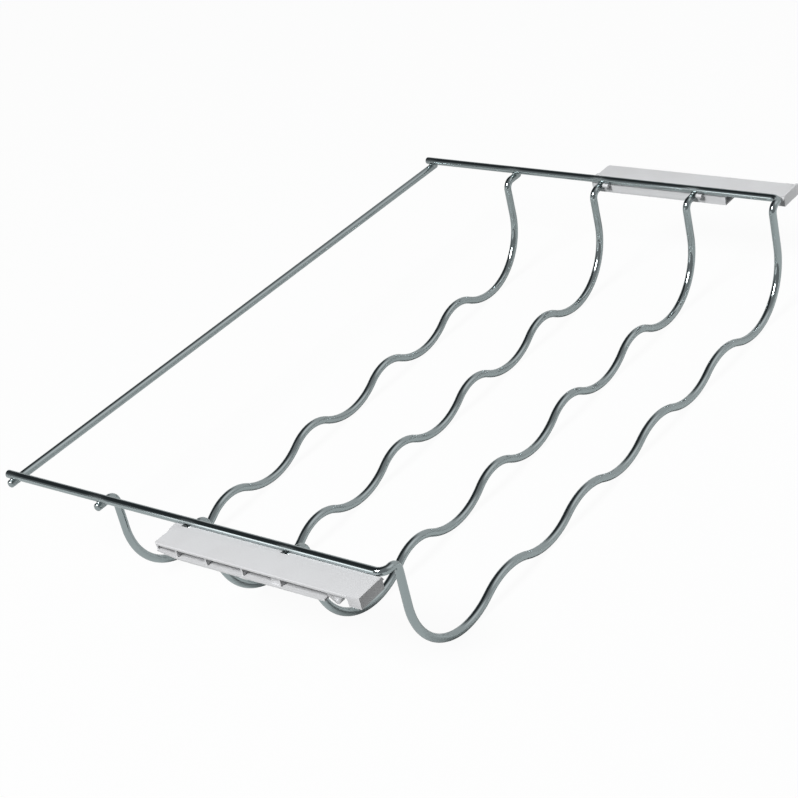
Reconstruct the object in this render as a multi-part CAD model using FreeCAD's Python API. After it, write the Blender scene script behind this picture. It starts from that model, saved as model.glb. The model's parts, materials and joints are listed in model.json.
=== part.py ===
import FreeCAD, Part
import math
import os

from FreeCAD import Vector

# Refrigerator bottle rack: bent steel wires welded together, with a plastic runner clipped to each side rail.
# Millimetres. +Z is up, +X is the rack's right and -Y its front. The origin is on the ground under the middle
# of the rack: the waves' lowest points stand on Z = 0.

# ---------------------------------------------------------------- driving sizes: wires
wire_d = 5.2              # every wire of the rack
weld_set = 0.3            # how deep two crossed wires sink into each other where they are welded
rail_spacing = 450.0      # between the axes of the two side rails
front_wire_back = 67.4    # from the frame wire's wave back to the front wave wire
middle_wire_back = 143.7  # the same to the middle wave wire
rear_wire_back = 218.9    # the same to the rear wave wire
rod_back = 296.4          # the same to the rear cross rod
rail_overhang = 4.0       # rail end behind the cross rod's axis
stub_length = 4.2         # wire end outside the rail's axis
end_rounding = 1.2        # on every cut end

seat_count = 5            # bottles side by side
valley_drop = 73.5        # from the rail's axis down to the axis at a wave's lowest point
leg_inset = 12.0          # from the rail's axis in to the wave's upright leg
bend_run = 0.5            # straight bit between the frame wire's two bends at each front corner
end_bend_r = 43.0         # quarter bend from an end valley up into the leg
frame_crest = 10.0        # crest above valley, on the frame wire's wave
frame_crest_r = 46.0      # its radius over a crest
wave_crest = 12.5         # crest above valley, on the three wave wires
wave_crest_r = 31.0       # their radius over a crest

# ---------------------------------------------------------------- driving sizes: weld metal
collar_margin = 0.1       # the weld collar's rim inside the outline of the two wires
collar_waist = 0.5        # how far the collar is hollowed at its middle

# ---------------------------------------------------------------- driving sizes: runners
clip_gap = 0.1            # between the plastic and the steel that it grips
plate_drop = 0.6          # plate's top below the rail's axis
plate_t = 1.6
plate_reach = 23.3        # plate's outer edge outside the rail's axis
front_setback = 1.4       # runner's front end behind the frame wire's front surface
tail = 7.5                # plate's rear end behind the middle wave wire's axis
tail_tab = 1.0            # the plate's inner corner reaches this much further back
tail_tab_reach = 10.0     # width of that corner, from the rail's axis
plate_corner_r = 1.8      # rounding of the plate's outer rear corner
edge_round = 0.4          # rounding of the plate's long outer top edge
runner_h = 9.0            # plate's top to sole's underside
sole_t = 1.5
sole_setback = 0.8        # sole's outer edge inside the plate's outer edge
web_t = 1.6
web_inset = 0.2           # web's inner face inside the rail's axis
web_lead = 24.6           # web's front end ahead of the front wave wire's axis
web_corner_r = 3.0        # rounding of the web's lower front corner
cradle_depth = 4.4        # underside of the rail's cradle below the rail's axis
cradle_reach = 4.6        # cradle's outer side outside the rail's axis
rib_t = 1.2
rib_setback = 0.3         # ribs' outer edge inside the sole's outer edge
rib_leads = (10.6, -17.4)       # rib fronts ahead of the front wave wire's axis
rib_mid_leads = (31.4, 8.4)     # rib fronts ahead of the middle wave wire's axis
tongue_w = 9.5            # width of the sole's forward tongue
tongue_lead = 41.6        # tongue's outer end ahead of the front wave wire's axis
tongue_slant = 3.5        # how much the tongue's end is cut at a slant
lead_in = 2.4             # how far the sole rises from its last rib to the runner's rear end
pad_long = 6.5            # raised pad on the sole behind the first rib
pad_wide = 5.0
pad_h = 3.6
pad_setback = 1.4         # from the sole's outer edge
nose_w = 4.4              # snap nose along the rail
nose_lead = 6.0           # its middle ahead of the wave wire's axis
nose_r = 1.5
nose_in = 2.9             # nose's middle inside the rail's axis
nose_drop = 3.2           # and below it
stop_h = 6.8              # end stop, plate's top to its underside
stop_top_t = 9.3          # its thickness under the plate
stop_foot_t = 8.7         # and at its foot
stop_gap = 0.5            # between the stop and the rail
lip_h = 0.8               # raised lip along the front edge, above the plate
lip_t = 1.4
tooth_h = 7.0             # detent tooth below the plate
tooth_back = 27.9         # its ramp's start behind the runner's front end
tooth_top = 15.7          # tooth's length under the plate
tooth_tip = 1.8           # and at its tip
tooth_lean = 5.0          # how far its front face leans back, top to tip
tooth_w = 5.0
tooth_setback = 1.3       # from the plate's outer edge
tooth_pocket = 0.5        # pocket in its outer side, as a share of the tooth's own outline
tooth_pocket_deep = 1.2

# ---------------------------------------------------------------- sizes that follow from those
wire_r = wire_d / 2
rail_x = rail_spacing / 2
rail_z = valley_drop + wire_r
depth = wire_r + rod_back + rail_overhang
front_y = wire_r - depth / 2            # axis of the frame wire's wave
rail_end_y = front_y + rod_back + rail_overhang
leg_x = rail_x - leg_inset
bend_r = (leg_inset - bend_run) / 2
seat_pitch = 2 * (leg_x - end_bend_r) / (seat_count - 1)
cross_z = rail_z - wire_d + weld_set    # axis of every wire that is welded under the rails
collar_r = wire_r - collar_margin
collar_waist_r = wire_r / 2

rod_y = front_y + rod_back
wave_wires = {
    "wave_wire_front": front_y + front_wire_back,
    "wave_wire_middle": front_y + middle_wire_back,
    "wave_wire_rear": front_y + rear_wire_back,
}

os.makedirs("parts", exist_ok=True)


# ---------------------------------------------------------------- bent wire
def line(start, end):
    return Part.makeLine(start, end)


def arc(centre, radius, start_deg, end_deg, across, up):
    """An arc in the plane of the unit vectors across and up, its angles measured from across."""
    def point(deg):
        a = math.radians(deg)
        return centre + across * (radius * math.cos(a)) + up * (radius * math.sin(a))
    return Part.Arc(point(start_deg), point((start_deg + end_deg) / 2), point(end_deg)).toShape()


X, Y, Z = Vector(1, 0, 0), Vector(0, 1, 0), Vector(0, 0, 1)


def wave_edges(y, crest, crest_r):
    """One wave from the left leg's foot to the right leg's foot, all tangent arcs in an upright plane.

    A crest and half of each valley beside it share one swing angle, so that the arcs meet on a tangent.
    """
    swing = 2 * math.degrees(math.atan(2 * crest / seat_pitch))
    valley_r = seat_pitch / 2 / math.sin(math.radians(swing)) - crest_r
    low = wire_r
    first = -(seat_count - 1) / 2 * seat_pitch

    def flat_arc(x, z, radius, start_deg, end_deg):
        return arc(Vector(x, y, z), radius, start_deg, end_deg, X, Z)

    edges = [flat_arc(first, low + end_bend_r, end_bend_r, 180, 270)]
    for seat in range(seat_count):
        x = first + seat * seat_pitch
        start = 270 if seat == 0 else 270 - swing
        end = 270 if seat == seat_count - 1 else 270 + swing
        edges.append(flat_arc(x, low + valley_r, valley_r, start, end))
        if seat < seat_count - 1:
            crest_x = x + seat_pitch / 2
            edges.append(flat_arc(crest_x, low + crest - crest_r, crest_r, 90 + swing, 90 - swing))
    edges.append(flat_arc(-first, low + end_bend_r, end_bend_r, 270, 360))
    return edges


def leg_and_hook(side, y, top_z):
    """The upright leg of a wave and the bend at its top, which turns outwards to a level run."""
    foot = Vector(side * leg_x, y, wire_r + end_bend_r)
    head = Vector(side * leg_x, y, top_z - bend_r)
    centre = Vector(side * (leg_x + bend_r), y, top_z - bend_r)
    return [line(foot, head), arc(centre, bend_r, 180, 90, X * side, Z)]


def swept(edges, start, heading):
    """A round wire carried along the edges, which are put in order first."""
    path = Part.Wire(Part.__sortEdges__(edges))
    section = Part.Wire(Part.makeCircle(wire_r, start, heading))
    return path.makePipeShell([section], True, False)


def round_ends(solid, ends):
    """Round the two cut ends of a wire: the edges whose middle lies at an end point."""
    rims = [e for e in solid.Edges for end in ends
            if isinstance(e.Curve, Part.Circle) and (e.Curve.Center - end).Length < 0.01
            and abs(e.Curve.Radius - wire_r) < 0.01]
    return solid.makeFillet(end_rounding, rims)


def rail_bar(side, radius):
    """A plain bar along a side rail, from ahead of the rack to the rail's rear end, for cutting seats to it."""
    start = Vector(side * rail_x, front_y - wire_d, rail_z)
    return Part.makeCylinder(radius, rail_end_y - start.y, start, Y)


def make_frame_wire():
    edges = wave_edges(front_y, frame_crest, frame_crest_r)
    ends = []
    for side in (-1, 1):
        end = Vector(side * rail_x, rail_end_y, rail_z)
        turn = Vector(side * rail_x, front_y + bend_r, rail_z)
        centre = turn - X * (side * bend_r)
        corner = arc(centre, bend_r, 0, -90, X * side, Y)
        run_end = Vector(side * (leg_x + bend_r), front_y, rail_z)
        edges += [line(end, turn), corner, line(centre - Y * bend_r, run_end)]
        edges += leg_and_hook(side, front_y, rail_z)
        ends.append(end)
    return round_ends(swept(edges, ends[0], Y), ends)


def make_wave_wire(y):
    edges = wave_edges(y, wave_crest, wave_crest_r)
    ends = []
    for side in (-1, 1):
        end = Vector(side * (rail_x + stub_length), y, cross_z)
        edges += leg_and_hook(side, y, cross_z)
        edges.append(line(Vector(side * (leg_x + bend_r), y, cross_z), end))
        ends.append(end)
    wire = round_ends(swept(edges, ends[0], X), ends)
    return wire.cut(rail_bar(-1, wire_r)).cut(rail_bar(1, wire_r))


def make_cross_rod():
    half = rail_x + stub_length
    ends = [Vector(side * half, rod_y, cross_z) for side in (-1, 1)]
    rod = round_ends(Part.makeCylinder(wire_r, 2 * half, ends[0], X), ends)
    return rod.cut(rail_bar(-1, wire_r)).cut(rail_bar(1, wire_r))


def make_weld_collars():
    """Weld metal round each contact of a rail and a wire that crosses under it."""
    contact_z = (rail_z + cross_z) / 2
    collars = []
    for side in (-1, 1):
        for y in list(wave_wires.values()) + [rod_y]:
            middle = Vector(side * rail_x, y, contact_z)
            collar = Part.makeCylinder(collar_r, rail_z - cross_z, Vector(middle.x, y, cross_z), Z)
            waist = Part.makeTorus(collar_r + collar_waist_r - collar_waist, collar_waist_r, middle, Z)
            crossing = Vector(side * rail_x - wire_d, y, cross_z)
            collar = collar.cut(waist).cut(rail_bar(side, wire_r))
            collar = collar.cut(Part.makeCylinder(wire_r, 2 * wire_d, crossing, X))
            collars.append(collar)
    return Part.makeCompound(collars)


# ---------------------------------------------------------------- right runner; the left one mirrors it
runner_front = front_setback - wire_r    # distances below are behind the frame wire's wave axis
plate_end = middle_wire_back + tail
plate_low = plate_drop + plate_t
sole_low = plate_drop + runner_h
sole_reach = plate_reach - sole_setback
sole_top = sole_low - sole_t
web_front = front_wire_back - web_lead
ramp_start = middle_wire_back - rib_mid_leads[-1] + rib_t
clipped_wires = (front_wire_back, middle_wire_back)


def block(reach, back, drop):
    """A box: (inner, outer) from the rail's axis, (front, rear) and (top, bottom) below the rail's axis."""
    corner = Vector(rail_x + reach[0], front_y + back[0], rail_z - drop[1])
    return Part.makeBox(reach[1] - reach[0], back[1] - back[0], drop[1] - drop[0], corner)


def side_prism(outline, reach):
    """A prism across the runner from an outline of (back, drop) points."""
    points = [Vector(rail_x + reach[0], front_y + back, rail_z - drop) for back, drop in outline]
    return Part.Face(Part.makePolygon(points + points[:1])).extrude(X * (reach[1] - reach[0]))


def flat_prism(outline, drop):
    """A flat plate from an outline of (reach, back) points."""
    points = [Vector(rail_x + reach, front_y + back, rail_z - drop[1]) for reach, back in outline]
    return Part.Face(Part.makePolygon(points + points[:1])).extrude(Z * (drop[1] - drop[0]))


def upright_edges(solid, reach, back):
    """The upright edges at one corner of a plate, for rounding."""
    def is_there(edge):
        middle = edge.CenterOfMass
        return abs(middle.x - rail_x - reach) < 0.01 and abs(middle.y - front_y - back) < 0.01
    return [e for e in solid.Edges if is_there(e)]


def make_plate():
    outline = [(0, runner_front), (plate_reach, runner_front), (plate_reach, plate_end),
               (tail_tab_reach, plate_end), (tail_tab_reach - tail_tab, plate_end + tail_tab),
               (0, plate_end + tail_tab)]
    plate = flat_prism(outline, (plate_drop, plate_low))
    plate = plate.makeFillet(plate_corner_r, upright_edges(plate, plate_reach, plate_end))
    top_z = rail_z - plate_drop
    rims = [e for e in plate.Edges if abs(e.BoundBox.ZMin - top_z) < 0.01
            and e.BoundBox.XMin > rail_x + plate_reach - 0.01 and e.Length > plate_t]
    return plate.makeFillet(edge_round, rims)


def make_sole():
    """The sole's flat part with its forward tongue, the ramp that leads the runner in, and a raised pad."""
    tongue_in = sole_reach - tongue_w
    tip = front_wire_back - tongue_lead
    outline = [(-web_inset, web_front), (tongue_in, web_front), (tongue_in, tip + tongue_slant),
               (sole_reach - tongue_slant, tip), (sole_reach, tip),
               (sole_reach, ramp_start), (-web_inset, ramp_start)]
    sole = flat_prism(outline, (sole_top, sole_low))
    ramp = side_prism([(ramp_start, sole_top), (plate_end, sole_top - lead_in),
                       (plate_end, sole_low - lead_in), (ramp_start, sole_low)], (0, sole_reach))
    pad_out = sole_reach - pad_setback
    first_rib = front_wire_back - rib_leads[0] + rib_t
    pad = block((pad_out - pad_wide, pad_out), (first_rib, first_rib + pad_long), (sole_top - pad_h, sole_low))
    return sole.fuse([ramp, pad])


def make_web():
    web = block((-web_inset, web_t - web_inset), (web_front, plate_end), (wire_r, sole_low))
    middle_z = rail_z - sole_low
    corner = [e for e in web.Edges if abs(e.CenterOfMass.z - middle_z) < 0.01
              and abs(e.CenterOfMass.y - front_y - web_front) < 0.01]
    return web.makeFillet(web_corner_r, corner)


def make_end_stop():
    top = plate_drop
    foot = plate_drop + stop_h
    rear = runner_front + stop_top_t
    outline = [(runner_front, top - lip_h), (runner_front + lip_t, top - lip_h),
               (runner_front + lip_t + lip_h, top), (rear, top), (rear, plate_low),
               (runner_front + stop_foot_t, foot), (runner_front, foot)]
    return side_prism(outline, (wire_r + stop_gap, plate_reach))


def make_tooth():
    start = runner_front + tooth_back
    tip_z = plate_low + tooth_h
    tip_back = start - tooth_top + tooth_lean
    outline = [(start, plate_drop + plate_t / 2), (start, plate_low), (tip_back + tooth_tip, tip_z),
               (tip_back, tip_z), (start - tooth_top, plate_low), (start - tooth_top, plate_drop + plate_t / 2)]
    flanks = outline[1:5]
    middle = [sum(values) / len(flanks) for values in zip(*flanks)]
    pocket = [(middle[0] + tooth_pocket * (back - middle[0]), middle[1] + tooth_pocket * (down - middle[1]))
              for back, down in flanks]
    outer = plate_reach - tooth_setback
    tooth = side_prism(outline, (outer - tooth_w, outer))
    return tooth.cut(side_prism(pocket, (outer - tooth_pocket_deep, outer + tooth_pocket_deep)))


def make_nose(back):
    """A snap nose that grips the rail from inside, on an arm from the web."""
    middle = back - nose_lead
    span = (middle - nose_w / 2, middle + nose_w / 2)
    start = Vector(rail_x - nose_in, front_y + span[0], rail_z - nose_drop)
    arm = block((-nose_in, web_t - web_inset), span, (nose_drop, nose_drop + nose_r))
    return arm.fuse(Part.makeCylinder(nose_r, nose_w, start, Y))


def make_right_runner():
    rib_reach = (0, sole_reach - rib_setback)
    pieces = [make_sole(), make_web(), make_end_stop(), make_tooth()]
    pieces.append(block((-web_inset, cradle_reach), (web_front, plate_end), (plate_drop, cradle_depth)))
    rib_fronts = [front_wire_back - lead for lead in rib_leads]
    rib_fronts += [middle_wire_back - lead for lead in rib_mid_leads]
    for back in rib_fronts:
        pieces.append(block(rib_reach, (back, back + rib_t), (plate_drop + plate_t / 2, sole_top + sole_t / 2)))
    end_wall = (plate_drop + plate_t / 2, sole_top - lead_in + sole_t / 2)
    pieces.append(block(rib_reach, (plate_end - rib_t, plate_end), end_wall))
    pieces += [make_nose(back) for back in clipped_wires]
    runner = make_plate().fuse(pieces)
    runner = runner.cut(rail_bar(1, wire_r + clip_gap))
    bore_r = wire_r + clip_gap
    for back in clipped_wires:
        slot_top = block((-web_inset - 1, stub_length + 2 * clip_gap), (back - bore_r, back + bore_r),
                         (-1, rail_z - cross_z))
        start = Vector(rail_x - web_inset - 1, front_y + back, cross_z)
        slot_floor = Part.makeCylinder(bore_r, web_inset + 1 + stub_length + 2 * clip_gap, start, X)
        runner = runner.cut(slot_top.fuse(slot_floor))
    return runner.removeSplitter()


# ---------------------------------------------------------------- build and write
nodes = {"frame_wire": make_frame_wire(), "rear_cross_rod": make_cross_rod()}
for name, wire_y in wave_wires.items():
    nodes[name] = make_wave_wire(wire_y)
nodes["weld_collars"] = make_weld_collars()
nodes["runner_right"] = make_right_runner()
nodes["runner_left"] = nodes["runner_right"].mirror(Vector(0, 0, 0), X)

for name, shape in nodes.items():
    box = shape.BoundBox
    print("%-18s solids %d  valid %s  volume %.1f  box %.2f..%.2f  %.2f..%.2f  %.2f..%.2f" % (
        name, len(shape.Solids), shape.isValid(), shape.Volume,
        box.XMin, box.XMax, box.YMin, box.YMax, box.ZMin, box.ZMax))
    shape.exportStep("parts/%s.step" % name)
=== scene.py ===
# %% [markdown]
# # A bottle rack of bent chromed wire
#
# This rack lies on two ledges inside a refrigerator and carries five bottles side by side. It is a very
# plain thing: five lengths of steel wire, welded where they cross and plated bright, and two moulded
# runners that snap onto the side rails. All of its looks come from three things: how exactly the wire is
# bent, what the plating reflects, and how the pale plastic takes the light.
#
# The sizes were settled when the rack was designed, so this lesson starts from that design.

# %% Load the design as a fixed frame
import json
import math

import bmesh
import bpy
import numpy as np
from mathutils import Matrix, Vector


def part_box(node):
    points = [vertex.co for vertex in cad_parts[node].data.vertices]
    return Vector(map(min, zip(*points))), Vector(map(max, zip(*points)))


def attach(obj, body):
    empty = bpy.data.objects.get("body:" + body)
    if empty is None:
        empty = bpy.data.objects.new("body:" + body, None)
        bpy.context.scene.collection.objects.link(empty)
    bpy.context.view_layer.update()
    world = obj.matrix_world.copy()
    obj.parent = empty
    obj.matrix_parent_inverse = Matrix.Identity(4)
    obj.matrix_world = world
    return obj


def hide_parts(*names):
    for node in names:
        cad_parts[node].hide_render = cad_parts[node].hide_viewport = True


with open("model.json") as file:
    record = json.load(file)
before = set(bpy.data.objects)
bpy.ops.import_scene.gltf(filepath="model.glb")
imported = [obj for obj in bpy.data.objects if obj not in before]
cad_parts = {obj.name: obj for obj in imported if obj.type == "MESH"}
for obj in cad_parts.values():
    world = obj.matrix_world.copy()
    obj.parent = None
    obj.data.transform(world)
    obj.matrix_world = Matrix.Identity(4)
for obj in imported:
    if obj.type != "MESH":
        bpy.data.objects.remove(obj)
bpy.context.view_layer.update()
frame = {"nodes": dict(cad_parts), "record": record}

# %% [markdown]
# ## The camera
#
# A product picture of a flat, wide object is taken from above one corner, with a long lens, so that
# parallel wires stay nearly parallel. The camera here is also rolled a little, which makes the near rail
# run gently downhill. Three turns say all of that: the heading about the vertical, the tilt below the
# horizon, and the roll about the line of sight. They are kept as three numbers, because a matrix of nine
# says nothing to a reader.

# %% Place the camera
CAMERA_PLACE = Vector((-0.8631, -0.8003, 0.6862))
HEADING = 46.30          # degrees from +Y towards +X
TILT = 29.17             # degrees below the horizon
ROLL = -13.71            # degrees about the line of sight
LENS = 92.46             # mm
SENSOR = 36              # mm across
NEAREST = 0.01           # nothing nearer than this is drawn


def turn(degrees, axis):
    """A turn about one axis, as a matrix."""
    return Matrix.Rotation(math.radians(degrees), 4, axis)


lens = bpy.data.cameras.new("camera")
lens.sensor_width = SENSOR
lens.lens = LENS
lens.clip_start = NEAREST
camera = bpy.data.objects.new("camera", lens)
camera.matrix_world = (Matrix.Translation(CAMERA_PLACE) @ turn(-HEADING, "Z")
                       @ turn(90 - TILT, "X") @ turn(ROLL, "Z"))
bpy.context.scene.collection.objects.link(camera)
bpy.context.scene.camera = camera

# %% [markdown]
# ## What the design says about the wire
#
# All five wires are drawn from the same coil, so one radius serves them all, and the plain cross rod is
# the best place to measure it. The side rails, the crossing wires and the seats of the bottles then follow
# from the nodes' boxes and from the openings that the record keeps free for the bottles.

# %% Read the wire's size and place
def limits(node):
    """A node's lowest and highest corner, rounded to a hundredth of a millimetre."""
    return [np.round(np.array(corner), 5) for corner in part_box(node)]


rod_low, rod_high = limits("rear_cross_rod")
wire_r = round((rod_high[1] - rod_low[1]) / 2, 5)

frame_low, frame_high = limits("frame_wire")
rail_x = frame_high[0] - wire_r
rail_z = frame_high[2] - wire_r
front_y = frame_low[1] + wire_r
rail_end_y = frame_high[1]
cross_z = rod_high[2] - wire_r       # the rod and the wave wires all pass just under the rails

openings = frame["record"]["physics"]["openings"]
seats = [opening["box_m"] for opening in openings if opening["name"].startswith("bottle_seat")]
seat_x = np.mean(seats, axis=1)[:, 0]
seat_pitch = seat_x[1] - seat_x[0]
print("wire %.2f mm, rails %.1f mm apart" % (2000 * wire_r, 2000 * rail_x))
print("%d seats, %.1f mm apart" % (len(seat_x), 1000 * seat_pitch))

# %% [markdown]
# ## Bending a wire: straight runs and tangent arcs
#
# A wire bender knows only two moves: push the wire straight through, or roll it round a former. So a
# wire's line is a chain of straight runs and circular arcs that meet on a common tangent. A curve editor
# could draw such a line by hand, but it would only come close. Worked out from radii and angles, it is
# exact, and each bend can be changed by its own number.

# %% Straight runs and arcs as arrays of points
ARC_STEP = math.radians(3.0)
FEWEST_ARC_POINTS = 4
SAME_POINT = 1e-7        # points nearer than this are one point
X, Y, Z = np.eye(3)


def run(start, end, count):
    """Points on a straight run: the start plus an even share of the way to the end."""
    share = np.linspace(0, 1, count)[:, None]
    return np.array(start) + share * (np.array(end) - np.array(start))


def arc(centre, radius, start_deg, end_deg, across, up):
    """Points on an arc: centre + radius (cosine * across + sine * up), angles measured from across."""
    span = math.radians(end_deg - start_deg)
    count = max(FEWEST_ARC_POINTS, round(abs(span) / ARC_STEP))
    angle = math.radians(start_deg) + np.linspace(0, 1, count)[:, None] * span
    return np.array(centre) + radius * (np.cos(angle) * across + np.sin(angle) * up)


def chain(*parts):
    """Join the parts into one line, leaving out each point that repeats the one before it."""
    points = np.concatenate(parts)
    fresh = np.linalg.norm(np.diff(points, axis=0), axis=1) > SAME_POINT
    return points[np.concatenate([[True], fresh])]


print("a quarter bend is drawn with", len(arc((0, 0, 0), 1, 0, 90, X, Z)), "points")

# %% [markdown]
# ## The wave that the bottles lie in
#
# Each carrying wire has a wave with one valley to a bottle. A valley and the crest beside it swing through
# the same angle, and that is the whole trick: two arcs which turn by equal and opposite amounts meet on a
# shared tangent. The swing follows from the wave's height and pitch, and the valley's radius is what the
# crest's radius leaves over. The end valleys turn up through a quarter circle into the legs.

# %% The wave's line
FRAME_CREST = (0.010, 0.046)     # height and radius of a crest on the frame wire
WAVE_CREST = (0.0125, 0.031)     # the same on the three wires behind it
LEG_INSET = 0.012        # rail's axis in to the upright leg

leg_x = rail_x - LEG_INSET
end_valley_r = leg_x - seat_x[-1]
leg_foot_z = wire_r + end_valley_r       # where a leg passes into its end valley


def wave(y, crest):
    """Quarter turn, then valley and crest by turns, then a last quarter turn, in the upright plane at y."""
    height, crest_r = crest
    swing = math.degrees(2 * math.atan(2 * height / seat_pitch))
    valley_r = seat_pitch / 2 / math.sin(math.radians(swing)) - crest_r
    first, last = seat_x[0], seat_x[-1]
    parts = [arc((first, y, leg_foot_z), end_valley_r, 180, 270, X, Z)]
    for x in seat_x:
        start = 270 if x == first else 270 - swing
        end = 270 if x == last else 270 + swing
        parts.append(arc((x, y, wire_r + valley_r), valley_r, start, end, X, Z))
        if x != last:
            crest_middle = (x + seat_pitch / 2, y, wire_r + height - crest_r)
            parts.append(arc(crest_middle, crest_r, 90 + swing, 90 - swing, X, Z))
    parts.append(arc((last, y, leg_foot_z), end_valley_r, 270, 360, X, Z))
    return chain(*parts)


print("waves of %d valleys between legs %.0f mm apart" % (len(seat_x), 2000 * leg_x))

# %% [markdown]
# ## The hook at the top of each leg
#
# Where a wire comes out from under the rail it bends straight down into its leg. That is the tightest bend
# of the whole rack, its radius little more than the wire is thick, and it needs a scrap of straight wire
# beside it for the bender to grip. The rack is the same on both sides, so only the left half is worked
# out, and the right one is its mirror image.

# %% The leg's line
BEND_RUN = 0.0005        # straight wire left between two tight bends
LEG_POINTS = 8

tight_r = (LEG_INSET - BEND_RUN) / 2


def hook(y, top_z):
    """The left leg's tight bend: from a level run under the rail, over and down into the leg."""
    bend = arc((-leg_x - tight_r, y, top_z - tight_r), tight_r, 90, 0, X, Z)
    return chain(bend, run(bend[-1], (-leg_x, y, leg_foot_z), LEG_POINTS))


def both_sides(left, middle):
    """The left part, the middle, and the left part again as its own mirror image, walked backwards."""
    return chain(left, middle, left[::-1] * (-1, 1, 1))


print("tight bends of %.2f mm radius" % (1000 * tight_r))

# %% [markdown]
# ## A round skin on a line
#
# Blender's curves can carry a round bevel, but their ends are flat and their skin can't be told how far
# along the wire it is. Here the skin is a surface of two parameters instead. One goes round the wire, the
# other along it. At every point of the line two directions square to the tangent span the round section.
# They come from one fixed direction that no stretch of these wires runs along, so the whole wire needs no
# loop.
#
# Near a cut end the section shrinks along a quarter circle, which rounds the end as a deburring wheel
# does, and a single point closes it. The skin also remembers where each of its points lies round and along
# the wire, because the drawing lines of the steel run that way.

# %% Carry a round section along a line
SIDES = 36
END_ROUNDING = 0.0012
ROUNDING_STEPS = 7
STEADY = np.array((0.0, 1.0, 1.0)) / math.sqrt(2)    # no wire of the rack runs this way


def unit(vectors):
    """Each vector divided by its own length."""
    return vectors / np.linalg.norm(vectors, axis=1)[:, None]


def rounded_line(line):
    """Draw both ends in by the rounding, and shrink the section there along a quarter circle."""
    t = np.linspace(math.pi / 2, 0, ROUNDING_STEPS)
    back = END_ROUNDING * (1 - np.sin(t))[:, None]
    narrow = wire_r - END_ROUNDING * (1 - np.cos(t))
    inward = unit(np.array([line[1] - line[0], line[-2] - line[-1]]))
    start = line[0] + back * inward[0]
    end = line[-1] + back * inward[1]
    points = np.concatenate([start, line[1:-1], end[::-1]])
    radii = np.concatenate([narrow, np.full(len(line) - 2, wire_r), narrow[::-1]])
    return points, radii


def tangents(points):
    """Unit direction at each point: the sum of the unit directions of the two spans that meet there."""
    span = unit(np.diff(points, axis=0))
    return unit(np.concatenate([span[:1], span[:-1] + span[1:], span[-1:]]))


def skin(line):
    """Point = line + radius (cos a * side + sin a * over), where side and over are square to the tangent."""
    points, radii = rounded_line(line)
    along = tangents(points)
    side = unit(STEADY - (along @ STEADY)[:, None] * along)
    over = np.cross(along, side)
    angle = np.linspace(0, 2 * math.pi, SIDES, endpoint=False)
    aside = radii[:, None] * np.cos(angle)
    above = radii[:, None] * np.sin(angle)
    surface = points[:, None] + aside[:, :, None] * side[:, None] + above[:, :, None] * over[:, None]
    travelled = np.concatenate([[0], np.cumsum(np.linalg.norm(np.diff(points, axis=0), axis=1))])
    lay = np.stack(np.broadcast_arrays(aside, above, travelled[:, None]), axis=-1)
    return surface, lay, points


print("each ring of a skin has", SIDES, "points")

# %% [markdown]
# ## From a grid of points to a piece
#
# Blender wants faces as lists of point numbers. On a grid those numbers follow a rule: a point, the next
# one round, and the same two on the next ring. Worked out as arrays, the rule makes all faces of a wire at
# once. Its order also decides which side of a face is the outside. Each piece is then hung on the rack's
# body and takes the place of the design's node, which is hidden. It is also given its lay as an attribute
# that the finish can read.

# %% Turn a skin into a mesh piece
def grid_faces(rings, sides):
    """Four-cornered faces between neighbouring rings; the last column joins up with the first."""
    i, j = np.meshgrid(np.arange(rings - 1), np.arange(sides), indexing="ij")
    k = (j + 1) % sides
    ring = i * sides
    next_ring = ring + sides
    return np.stack([ring + j, ring + k, next_ring + k, next_ring + j], -1).reshape(-1, 4)


def end_fans(rings, sides):
    """Triangles from each end ring to its closing point; the two points come after all the rings."""
    j = np.arange(sides)
    k = (j + 1) % sides
    last = (rings - 1) * sides
    start_point = np.full(sides, rings * sides)
    near = np.stack([start_point, k, j], -1)
    far = np.stack([start_point + 1, last + j, last + k], -1)
    return np.concatenate([near, far])


def closed_faces(rings, sides, first=0):
    """All faces of a closed skin whose points start at the number first."""
    return (grid_faces(rings, sides) + first).tolist() + (end_fans(rings, sides) + first).tolist()


def new_piece(name, vertices, faces):
    """A smooth mesh object at the origin with these vertices and faces, riding on the rack's only body."""
    mesh = bpy.data.meshes.new(name)
    mesh.from_pydata(vertices.tolist(), [], faces)
    mesh.polygons.foreach_set("use_smooth", np.full(len(mesh.polygons), True))
    piece = bpy.data.objects.new(name, mesh)
    bpy.context.scene.collection.objects.link(piece)
    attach(piece, "root")
    return piece


def wire_piece(name, node, line):
    """A wire's skin as a piece that stands for this node, with its lay stored point by point."""
    surface, lay, points = skin(line)
    vertices = np.concatenate([surface.reshape(-1, 3), points[[0, -1]]])
    lay_of_all = np.concatenate([lay.reshape(-1, 3), lay[[0, -1]].mean(axis=1)])
    faces = closed_faces(len(points), SIDES)
    piece = new_piece(name, vertices, faces)
    mark = piece.data.attributes.new("lay", "FLOAT_VECTOR", "POINT")
    mark.data.foreach_set("vector", lay_of_all.astype(np.float32).ravel())
    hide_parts(node)
    print("%-22s %6.1f mm of wire, %5d faces" % (name, 1000 * lay_of_all[-1, 2], len(faces)))
    return piece


print("two rings are joined by", len(grid_faces(2, SIDES)), "faces")

# %% [markdown]
# ## The frame wire
#
# One wire makes both side rails and the front wave. It starts at the rear end of the left rail, runs
# forward, turns in at the front corner, drops down the leg, waves across, and comes back the same way on
# the right. The two tight bends at each corner lie in two different planes, so the corner looks like a
# knuckle.

# %% Bend the frame wire
RAIL_POINTS = 12

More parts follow.
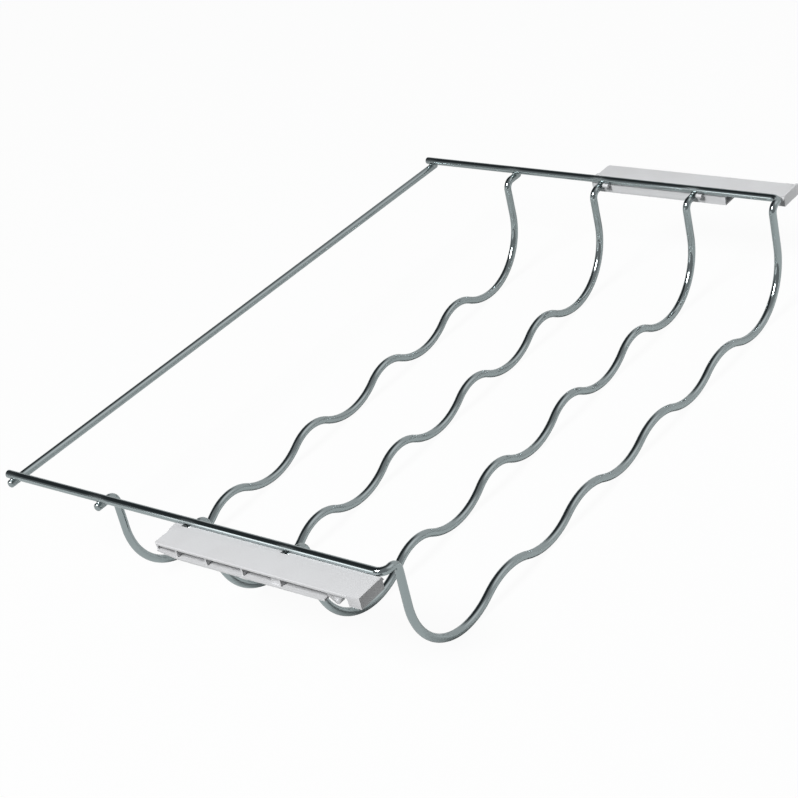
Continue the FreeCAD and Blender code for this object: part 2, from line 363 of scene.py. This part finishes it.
rail_turn_y = front_y + tight_r
rail = run((-rail_x, rail_end_y, rail_z), (-rail_x, rail_turn_y, rail_z), RAIL_POINTS)
corner_bend = arc((-rail_x + tight_r, rail_turn_y, rail_z), tight_r, 180, 270, X, Y)
frame_line = both_sides(chain(rail, corner_bend, hook(front_y, rail_z)), wave(front_y, FRAME_CREST))
wires = [wire_piece("frame_wire_bent", "frame_wire", frame_line)]

# %% [markdown]
# ## The wave wires and the cross rod
#
# Three more wires repeat the wave, with a tighter crest. They pass under the rails and end in a short stub
# just outside them. The cross rod at the rear is the only wire with no bend at all.

# %% Bend the wave wires and cut the rod
STUB_POINTS = 6
ROD_POINTS = 24

crossing_y = []
for row in ("front", "middle", "rear"):
    low, high = limits("wave_wire_" + row)
    wave_y = (low[1] + high[1]) / 2
    stub = run((low[0], wave_y, cross_z), (-leg_x - tight_r, wave_y, cross_z), STUB_POINTS)
    wave_line = both_sides(chain(stub, hook(wave_y, cross_z)), wave(wave_y, WAVE_CREST))
    wires.append(wire_piece("wave_wire_%s_bent" % row, "wave_wire_" + row, wave_line))
    crossing_y.append(wave_y)

rod_y = (rod_low[1] + rod_high[1]) / 2
rod_line = run((rod_low[0], rod_y, cross_z), (rod_high[0], rod_y, cross_z), ROD_POINTS)
wires.append(wire_piece("rear_cross_rod_cut", "rear_cross_rod", rod_line))
crossing_y.append(rod_y)

# %% [markdown]
# ## The welds
#
# The crossings are resistance welds: two electrodes squeeze the wires together and a short, heavy current
# melts them where they touch. A little metal is pressed out round the contact and stays as a low collar.
# Its lower rim lies on the crossing wire and its upper rim on the rail, so both rims are curves on
# cylinders. The collar between them is hollow like a saddle. A plain torus would float off one wire and
# cut into the other. A few shallow lobes, turned differently at each crossing, keep any two collars from
# looking alike.

# %% Press out the weld collars
RIM_INSET = 0.0001       # how much narrower than the wires the rims are
COLLAR_WAIST = 0.0005    # how much narrower the collar is halfway up
RIM_SINK = 0.0002        # how deep the rims reach into the wires
WELD_SIDES = 40
WELD_RISES = 12
THREE_LOBES = 0.03       # depth of three lobes round the waist, as a share of it
FIVE_LOBES = 0.02
TURN_BY_Y = 40           # radians to the metre
TURN_BY_X = 9


def weld_collar(x, y):
    """Radius narrows by a parabola between the rims; height goes evenly from lower wire to rail."""
    angle = np.linspace(0, 2 * math.pi, WELD_SIDES, endpoint=False)[None, :]
    rise = np.linspace(0, 1, WELD_RISES)[:, None]
    lobes = THREE_LOBES * np.sin(3 * angle + TURN_BY_Y * y)
    lobes = lobes + FIVE_LOBES * np.sin(5 * angle + TURN_BY_X * x)
    radius = wire_r - RIM_INSET - COLLAR_WAIST * 4 * rise * (1 - rise) * (1 + lobes)
    across = radius * np.cos(angle)
    back = radius * np.sin(angle)
    floor_z = cross_z + np.sqrt(np.maximum(wire_r ** 2 - back ** 2, 0)) - RIM_SINK
    roof_z = rail_z - np.sqrt(np.maximum(wire_r ** 2 - across ** 2, 0)) + RIM_SINK
    height = floor_z + rise * (roof_z - floor_z)
    collar = np.stack([x + across, y + back, height], -1).reshape(-1, 3)
    middles = np.array([(x, y, height[0].min()), (x, y, height[-1].max())])
    return np.concatenate([collar, middles])


collars = [weld_collar(side * rail_x, y) for side in (-1, 1) for y in crossing_y]
weld_faces = []
for number, collar in enumerate(collars):
    weld_faces += closed_faces(WELD_RISES, WELD_SIDES, first=number * len(collar))
welds = new_piece("weld_beads", np.concatenate(collars), weld_faces)
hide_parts("weld_collars")
print(len(collars), "weld collars,", len(weld_faces), "faces")

# %% [markdown]
# ## The runners
#
# A runner is one moulding: a flat plate beside the rail, a sole below it that slides on the cabinet's
# ledge, ribs between the two, an end stop at the front and a tooth that drops behind the ledge's edge.
# Nearly all of it is flat faces, and the design already has each at its right size, so remaking them would
# only risk the fit. What the design lacks is what a mould gives for free: edges that are never quite
# sharp. So each runner is a copy of the design's mesh, with its flat faces made whole again and its edges
# rounded by about a fifth of a millimetre. Those tiny rounds are what catches the light along every edge.

# %% Round the runners' edges
EDGE_ROUND = 0.00022
EDGE_STEPS = 3
MERGE_WITHIN = 1e-6
FLAT_WITHIN = math.radians(1.0)
SHARP_ABOVE = math.radians(28)


def runner_piece(name, node):
    """A merged copy of the node's mesh, its faces made whole and its sharp edges rounded."""
    mesh = frame["nodes"][node].data.copy()
    mesh.name = name
    work = bmesh.new()
    work.from_mesh(mesh)
    bmesh.ops.remove_doubles(work, verts=work.verts, dist=MERGE_WITHIN)
    bmesh.ops.dissolve_limit(work, angle_limit=FLAT_WITHIN, verts=work.verts, edges=work.edges)
    work.to_mesh(mesh)
    work.free()
    mesh.materials.clear()
    mesh.polygons.foreach_set("use_smooth", np.full(len(mesh.polygons), True))
    piece = bpy.data.objects.new(name, mesh)
    bpy.context.scene.collection.objects.link(piece)
    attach(piece, "root")
    rounding = piece.modifiers.new("edges", "BEVEL")
    rounding.width = EDGE_ROUND
    rounding.segments = EDGE_STEPS
    rounding.limit_method = "ANGLE"
    rounding.angle_limit = SHARP_ABOVE
    rounding.harden_normals = True
    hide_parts(node)
    print("%-20s %4d faces" % (name, len(mesh.polygons)))
    return piece


runners = [runner_piece("runner_%s_moulded" % side, "runner_" + side) for side in ("left", "right")]

# %% [markdown]
# ## Writing a finish as arithmetic
#
# A finish is a sum: a base, plus a little noise here, less some polish there. Node by node that is slow to
# read, so one small class wraps a node's output and lets Python's own signs add the Math nodes. Everything
# else a finish needs comes from one method, `node`, and the few nodes that are used again and again have
# short names of their own.

# %% A signal: a node's output that can be reckoned with
class Signal:
    """An output socket in a node tree. Signs make Math nodes; node() makes any other kind."""

    def __init__(self, tree, socket=None):
        self.tree = tree
        self.socket = socket

    def node(self, kind, settings=(), sockets=(), output=0):
        """Add a node: first its settings, then its sockets' values or links, by name or number."""
        made = self.tree.nodes.new(kind)
        for name, value in dict(settings).items():
            setattr(made, name, value)
        for name, value in dict(sockets).items():
            if isinstance(value, Signal):
                self.tree.links.new(value.socket, made.inputs[name])
            else:
                made.inputs[name].default_value = value
        return Signal(self.tree, made.outputs[output] if made.outputs else None)

    def math(self, operation, a, b=0.0):
        return self.node("ShaderNodeMath", {"operation": operation}, {0: a, 1: b})

    def __add__(self, other):
        return self.math("ADD", self, other)

    def __radd__(self, other):
        return self.math("ADD", other, self)

    def __sub__(self, other):
        return self.math("SUBTRACT", self, other)

    def __rsub__(self, other):
        return self.math("SUBTRACT", other, self)

    def __mul__(self, other):
        return self.math("MULTIPLY", self, other)

    def __rmul__(self, other):
        return self.math("MULTIPLY", other, self)

    def between(self, low, high):
        """Nought below low, one above high, and a smooth rise between them."""
        settings = {"interpolation_type": "SMOOTHSTEP"}
        return self.node("ShaderNodeMapRange", settings, {0: self, 1: low, 2: high, 3: 0.0, 4: 1.0})

    def blend(self, colour_a, colour_b):
        """Colour a where this signal is nought, colour b where it is one."""
        return self.node("ShaderNodeMix", {"data_type": "RGBA"}, {0: self, 6: colour_a, 7: colour_b}, 2)


print("+ - * add Math nodes; node() adds any other")

# %% Short names for the nodes that every finish uses
def new_finish(name):
    """An empty material, and a signal to build its nodes from."""
    material = bpy.data.materials.new(name)
    material.use_nodes = True
    material.node_tree.nodes.clear()
    return material, Signal(material.node_tree)


def coat(material, start, surface):
    """Send the surface to the material's output."""
    start.node("ShaderNodeOutputMaterial", {}, {"Surface": surface})
    return material


def noise(place, scale, detail=2.0, roughness=0.5):
    """Noise from nought to one at this place, with scale waves to the metre."""
    sockets = {"Vector": place, "Scale": scale, "Detail": detail, "Roughness": roughness}
    return place.node("ShaderNodeTexNoise", {}, sockets)


def squeezed(place, factors):
    """The place with each of its parts multiplied by its own factor."""
    return place.node("ShaderNodeVectorMath", {"operation": "MULTIPLY"}, {0: place, 1: factors})


def relief(height, strength, distance):
    """A normal that leans as if the surface rose and fell by this distance."""
    return height.node("ShaderNodeBump", {}, {"Height": height, "Strength": strength, "Distance": distance})


print("finishes are built from noise, squeezed places and relief")

# %% [markdown]
# ## Bright plating
#
# Plated wire is a mirror, so it has hardly any colour of its own: what it shows is the room. Three small
# faults make it look like steel and not like liquid. The wire was drawn through a die, which left fine
# lines along it, and the plating follows them. The plating is a touch duller beside the welds, where the
# heat has been. And no long wire is polished evenly, so its sharpness drifts along its length.
#
# The lines must follow the bends, so they use the `lay` that each skin carries, squeezed along the wire.

# %% How near a weld is
WELD_DULL_NEAR = 0.004   # dull up to here from the crossing's middle
WELD_DULL_FAR = 0.012    # and bright from here on


def near_welds(start):
    """One near a weld, nought far from it: the least distance to the four welds of a side decides."""
    place = start.node("ShaderNodeTexCoord", output="Object")
    x, y, z = [start.node("ShaderNodeSeparateXYZ", {}, {0: place}, name) for name in "XYZ"]
    aside = start.math("ABSOLUTE", x) - rail_x
    above = z - (rail_z + cross_z) / 2
    least = None
    for weld_y in crossing_y:
        ahead = y - weld_y
        square = ahead * ahead + aside * aside + above * above
        least = square if least is None else start.math("MINIMUM", least, square)
    return 1 - start.math("SQRT", least).between(WELD_DULL_NEAR, WELD_DULL_FAR)


print("the plating is dull within %.0f mm of a weld" % (1000 * WELD_DULL_NEAR))

# %% The wire's finish
STEEL = (0.385, 0.434, 0.442, 1)
STEEL_DULL = (0.315, 0.352, 0.357, 1)
LINES = 1100                     # drawing lines to the metre, round the wire
LINE_SHAPE = (1, 1, 0.02)        # along the wire a line is fifty times longer than it is wide
LINE_DEPTH = 0.00001
LINE_RELIEF = 0.06
PATCHES = 26                     # patches of better and worse polish to the metre
PATCH_SHAPE = (0.3, 0.3, 1)      # each goes well round the wire
PATCH_TINT, LINE_TINT, WELD_TINT = 0.35, 0.25, 0.5       # how far each fault darkens the steel
TINT_LOW, TINT_HIGH = 0.15, 1.0  # sum of the faults at which the steel begins and ends to darken
POLISH = 0.065                   # roughness of the best stretch
PATCH_ROUGH, LINE_ROUGH, WELD_ROUGH = 0.05, 0.02, 0.14   # and what each fault adds to it


def plated_wire():
    """A mirror, made rougher and darker by its drawing lines, its uneven polish and its welds."""
    material, start = new_finish("plated_wire")
    lay = start.node("ShaderNodeAttribute", {"attribute_name": "lay"}, output="Vector")
    lines = noise(squeezed(lay, LINE_SHAPE), LINES)
    patches = noise(squeezed(lay, PATCH_SHAPE), PATCHES, detail=3.0)
    dull = near_welds(start)
    faults = PATCH_TINT * patches + LINE_TINT * lines + WELD_TINT * dull
    surface = start.node("ShaderNodeBsdfPrincipled", {}, {
        "Base Color": faults.between(TINT_LOW, TINT_HIGH).blend(STEEL, STEEL_DULL),
        "Metallic": 1.0,
        "Roughness": POLISH + PATCH_ROUGH * patches + LINE_ROUGH * lines + WELD_ROUGH * dull,
        "Normal": relief(lines, LINE_RELIEF, LINE_DEPTH)})
    return coat(material, start, surface)


plating = plated_wire()
for piece in wires:
    piece.data.materials.append(plating)
print("plated", len(wires), "wires")

# %% [markdown]
# ## Weld metal
#
# The collars at the welds were molten, so they have no drawing lines. They are faintly lumpy instead, and
# the plating over them is duller. Their pattern reads the plain object place, since they have no lay.

# %% The welds' finish
LUMPS = 900              # to the metre
WELD_GRAIN = 6000
LUMP_SHARE, GRAIN_SHARE = 0.8, 0.2       # of the relief's height
LUMP_HEIGHT = 0.00012
LUMP_RELIEF = 0.5
LUMP_DARK, LUMP_BRIGHT = 0.3, 0.7
WELD_POLISH = 0.20
LUMP_ROUGH = 0.14


def weld_metal():
    """Lumps with a finer grain on them, darker where they are low and rougher where they are high."""
    material, start = new_finish("weld_metal")
    place = start.node("ShaderNodeTexCoord", output="Object")
    lumps = noise(place, LUMPS, detail=3.0, roughness=0.6)
    height = LUMP_SHARE * lumps + GRAIN_SHARE * noise(place, WELD_GRAIN)
    surface = start.node("ShaderNodeBsdfPrincipled", {}, {
        "Base Color": lumps.between(LUMP_DARK, LUMP_BRIGHT).blend(STEEL_DULL, STEEL),
        "Metallic": 1.0,
        "Roughness": WELD_POLISH + LUMP_ROUGH * lumps,
        "Normal": relief(height, LUMP_RELIEF, LUMP_HEIGHT)})
    return coat(material, start, surface)


welds.data.materials.append(weld_metal())
print("plated the weld collars")

# %% [markdown]
# ## Pale moulded plastic
#
# The runners are a pale grey plastic with a satin skin. The mould's wall was spark-eroded, which leaves a
# fine, even grain: it can't be seen as bumps, but it spreads the highlight. Two more changes keep the
# large plate from looking painted. Its gloss and its colour drift a little from place to place, as they do
# where the melt cooled unevenly, and faint scuffs run along the rail, the way a runner slides.

# %% The runners' finish
PLASTIC = (0.545, 0.550, 0.560, 1)
PLASTIC_WARM = (0.520, 0.522, 0.530, 1)
GRAIN = 5200             # grains to the metre
GRAIN_HEIGHT = 0.00004
GRAIN_RELIEF = 0.22
CLOUDS = 45              # drifts of colour and gloss to the metre
CLOUD_COOL, CLOUD_WARM = 0.3, 0.75
CLOUD_ROUGH = 0.10
SCUFFS = 2600
SCUFF_SHAPE = (1.0, 0.06, 1.0)
SCUFF_FAINT, SCUFF_CLEAR = 0.60, 0.78    # only the peaks of the noise become scuffs
SCUFF_DEPTH = 0.35       # as a share of the grain's height
SCUFF_ROUGH = 0.12
SATIN = 0.36             # roughness where nothing has touched it
PLASTIC_IOR = 1.49


def satin_plastic():
    """Fine grain, less the scuffs that cut it, over a colour and a gloss that drift like clouds."""
    material, start = new_finish("satin_plastic")
    place = start.node("ShaderNodeTexCoord", output="Object")
    grain = noise(place, GRAIN, roughness=0.6)
    clouds = noise(place, CLOUDS, detail=3.0)
    scratches = noise(squeezed(place, SCUFF_SHAPE), SCUFFS, detail=3.0, roughness=0.65)
    scuffs = scratches.between(SCUFF_FAINT, SCUFF_CLEAR)
    surface = start.node("ShaderNodeBsdfPrincipled", {}, {
        "Base Color": clouds.between(CLOUD_COOL, CLOUD_WARM).blend(PLASTIC, PLASTIC_WARM),
        "Roughness": SATIN + CLOUD_ROUGH * clouds + SCUFF_ROUGH * scuffs,
        "IOR": PLASTIC_IOR,
        "Normal": relief(grain - SCUFF_DEPTH * scuffs, GRAIN_RELIEF, GRAIN_HEIGHT)})
    return coat(material, start, surface)


plastic = satin_plastic()
for piece in runners:
    piece.data.materials.append(plastic)
print("moulded", len(runners), "runners")

# %% [markdown]
# ## The sheet it stands on
#
# Bright wire shows its surroundings, and the nearest of them is the pale sheet under the rack. A white
# sheet would wash the lower half of every wire out, and a grey one would look dull behind the rack. A
# studio solves that with a lit sheet that is bleached in the print. Here the sheet asks what kind of ray
# is looking. The camera sees it nearly white, with a trace of shadow, the steel sees a pale grey, and
# light on its way to the plastic finds it darker, so that the runners' undersides stay in shade.

# %% The floor
FLOOR_HALF = 6.0
SHEET = (0.56, 0.575, 0.572, 1)
SHEET_SHADED = (0.22, 0.22, 0.22, 1)
PAPER_WHITE = (1, 1, 1, 1)
BLEACH = 0.95            # share of pure white in the sheet that the camera sees


def pale_sheet():
    """A dull sheet, mixed with a glowing white one by the bleach where the camera looks straight at it."""
    material, start = new_finish("pale_sheet")
    by_camera = start.node("ShaderNodeLightPath", output="Is Camera Ray")
    by_plastic = start.node("ShaderNodeLightPath", output="Is Diffuse Ray")
    dull = start.node("ShaderNodeBsdfDiffuse", {}, {"Color": by_plastic.blend(SHEET, SHEET_SHADED)})
    white = start.node("ShaderNodeEmission", {}, {"Color": PAPER_WHITE})
    surface = start.node("ShaderNodeMixShader", {}, {0: BLEACH * by_camera, 1: dull, 2: white})
    return coat(material, start, surface)


floor_mesh = bpy.data.meshes.new("floor")
floor_corners = np.array([(-1, -1, 0), (1, -1, 0), (1, 1, 0), (-1, 1, 0)]) * FLOOR_HALF
floor_mesh.from_pydata(floor_corners.tolist(), [], [(0, 1, 2, 3)])
floor_mesh.materials.append(pale_sheet())
floor = bpy.data.objects.new("floor", floor_mesh)
bpy.context.scene.collection.objects.link(floor)
print("a sheet %.0f m wide" % (2 * FLOOR_HALF))

# %% [markdown]
# ## The room that the wire mirrors
#
# Every band of light and dark on a wire is a part of the room, drawn out thin. So the room is arranged
# like a set for silverware. The wall on the left is dim and the one on the right is bright, which gives
# the rails a dim side and a light one. A black cloth hangs high behind the rack and makes the dark line
# along the top of the rails. A lit screen at the front right makes the pale streak along the cross rod.
# Each is a soft patch round one direction, and the cosine of the angle to that direction says how far into
# the patch one looks.
#
# The plastic is lit by only a part of that glow, so that the lamps can shape it.

# %% The room
LEFT_WALL = (0.27, 0.28, 0.285, 1)
RIGHT_WALL = (0.66, 0.67, 0.67, 1)
CEILING = (0.33, 0.335, 0.34, 1)
CLOTH = (0.038, 0.043, 0.046, 1)
SCREEN = (1.0, 1.0, 1.0, 1)
BACKDROP = (0.985, 0.985, 0.985, 1)      # what the camera itself sees beyond the sheet
RIGHT = Vector((1, 0, 0))
UP = Vector((0, 0, 1))
CLOTH_WAY = Vector((0.07, 0.70, 0.71))
SCREEN_WAY = Vector((0.41, -0.52, 0.75))
WALL_EDGES = (-0.5, 0.6)         # cosines where each part of the room begins and is full
CEILING_EDGES = (0.55, 0.95)
SCREEN_EDGES = (0.88, 0.99)
CLOTH_EDGES = (0.62, 0.88)
ROOM_LIGHT = 0.45        # share of the room's glow that reaches the plastic


def facing(direction, way):
    """Cosine of the angle between a direction and the way to something in the room."""
    sockets = {0: direction, 1: way.normalized()}
    return direction.node("ShaderNodeVectorMath", {"operation": "DOT_PRODUCT"}, sockets, "Value")


def studio_room():
    """Left wall to right wall, then the ceiling, the screen and the cloth laid over them one by one."""
    world = bpy.data.worlds.new("room")
    world.use_nodes = True
    world.node_tree.nodes.clear()
    start = Signal(world.node_tree)
    direction = start.node("ShaderNodeTexCoord", output="Object")
    room = facing(direction, RIGHT).between(*WALL_EDGES).blend(LEFT_WALL, RIGHT_WALL)
    room = facing(direction, UP).between(*CEILING_EDGES).blend(room, CEILING)
    room = facing(direction, SCREEN_WAY).between(*SCREEN_EDGES).blend(room, SCREEN)
    room = facing(direction, CLOTH_WAY).between(*CLOTH_EDGES).blend(room, CLOTH)
    dimmed = room.node("ShaderNodeVectorMath", {"operation": "SCALE"}, {0: room, "Scale": ROOM_LIGHT})
    by_mirror = start.node("ShaderNodeLightPath", output="Is Glossy Ray")
    by_camera = start.node("ShaderNodeLightPath", output="Is Camera Ray")
    shown = by_camera.blend(by_mirror.blend(dimmed, room), BACKDROP)
    background = start.node("ShaderNodeBackground", {}, {"Color": shown})
    start.node("ShaderNodeOutputWorld", {}, {"Surface": background})
    return world


bpy.context.scene.world = studio_room()
print("the plastic gets %.0f per cent of the room's glow" % (100 * ROOM_LIGHT))

# %% [markdown]
# ## The lamps
#
# One large softbox high on the left is the key. It makes the runners' tops bright and leaves their front
# ends in shade. A small white card at the left lifts the near runner's outer side. The far runner lies
# turned away from the key, so a fill lamp in front of it lights the plastic. The wires near that lamp
# would mirror it as hard white glints, so it is hidden from reflections.

# %% The lamps
def softbox(name, place, target, size, power):
    """A square lamp of this size, in metres, that faces the target. The camera doesn't see it."""
    lamp = bpy.data.lights.new(name, "AREA")
    lamp.shape = "SQUARE"
    lamp.size = size
    lamp.energy = power
    box = bpy.data.objects.new(name, lamp)
    box.location = place
    box.rotation_mode = "QUATERNION"
    box.rotation_quaternion = (Vector(target) - Vector(place)).to_track_quat("-Z", "Y")
    box.visible_camera = False
    bpy.context.scene.collection.objects.link(box)
    print("%-14s %.2f m wide, %5.1f W" % (name, size, power))
    return box


softbox("key", (-2.18, 0.32, 2.62), target=(0, 0, 0.05), size=1.1, power=148)
softbox("white_card", (-0.86, 0.42, 0.25), target=(-0.22, -0.08, 0.08), size=0.3, power=0.6)
far_end_fill = softbox("far_end_fill", (0.44, -0.56, 0.34), target=(0.36, 0.02, 0.07), size=0.4, power=1.9)
far_end_fill.visible_glossy = False
bpy.context.scene.view_settings.view_transform = "Standard"      # so that white stays white
